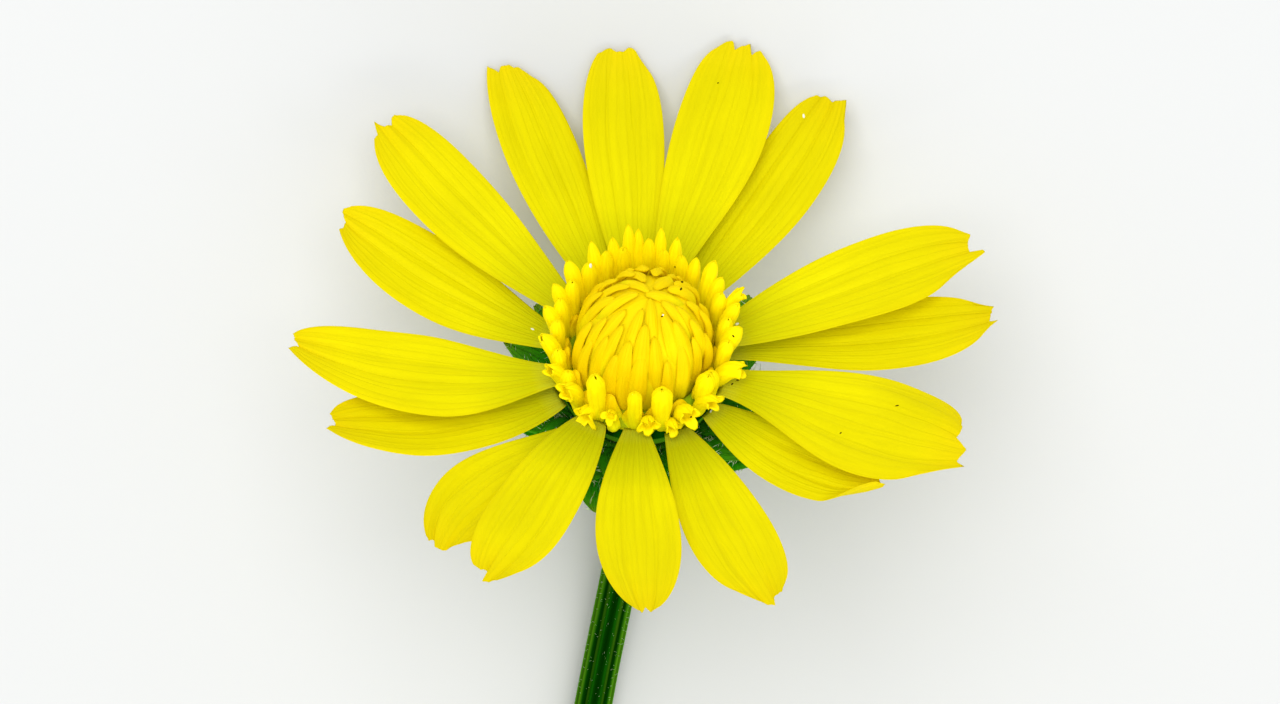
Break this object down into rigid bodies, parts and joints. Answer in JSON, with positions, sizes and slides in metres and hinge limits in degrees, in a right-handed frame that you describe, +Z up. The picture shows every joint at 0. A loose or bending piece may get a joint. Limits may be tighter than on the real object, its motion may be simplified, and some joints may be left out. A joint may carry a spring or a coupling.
{
  "type": "wild chrysanthemum",
  "caption": "Cut wild yellow daisy-like flower lying on its side: ray petals round a domed disc, leafy green bracts and a ribbed stalk.",
  "frame": {"origin": "the middle of the flower's bounding box, on the surface that it lies on", "axes": "+Z up; the flower lies along Y, with its face towards -Y and up, and its cut end at +Y"},
  "size_m": [0.0402, 0.1048, 0.0291],
  "materials": {
    "rays": "satin petal",
    "disc": "matt chaffy scales",
    "bracts": "hairy leaf",
    "stalk": "hairy ribbed stem"
  },
  "bodies": {
    "root": {"stalk": "stalk", "inner_bracts": "bracts", "outer_bract_1": "bracts", "outer_bract_2": "bracts", "outer_bract_3": "bracts", "outer_bract_4": "bracts", "outer_bract_5": "bracts", "ray_01": "rays", "ray_02": "rays", "ray_03": "rays", "ray_04": "rays", "ray_05": "rays", "ray_06": "rays", "ray_07": "rays", "ray_08": "rays", "ray_09": "rays", "ray_10": "rays", "ray_11": "rays", "ray_12": "rays", "ray_13": "rays", "ray_14": "rays", "ray_15": "rays", "ray_16": "rays", "disc_pales": "disc", "disc_florets": "disc"}
  },
  "joints": []
}
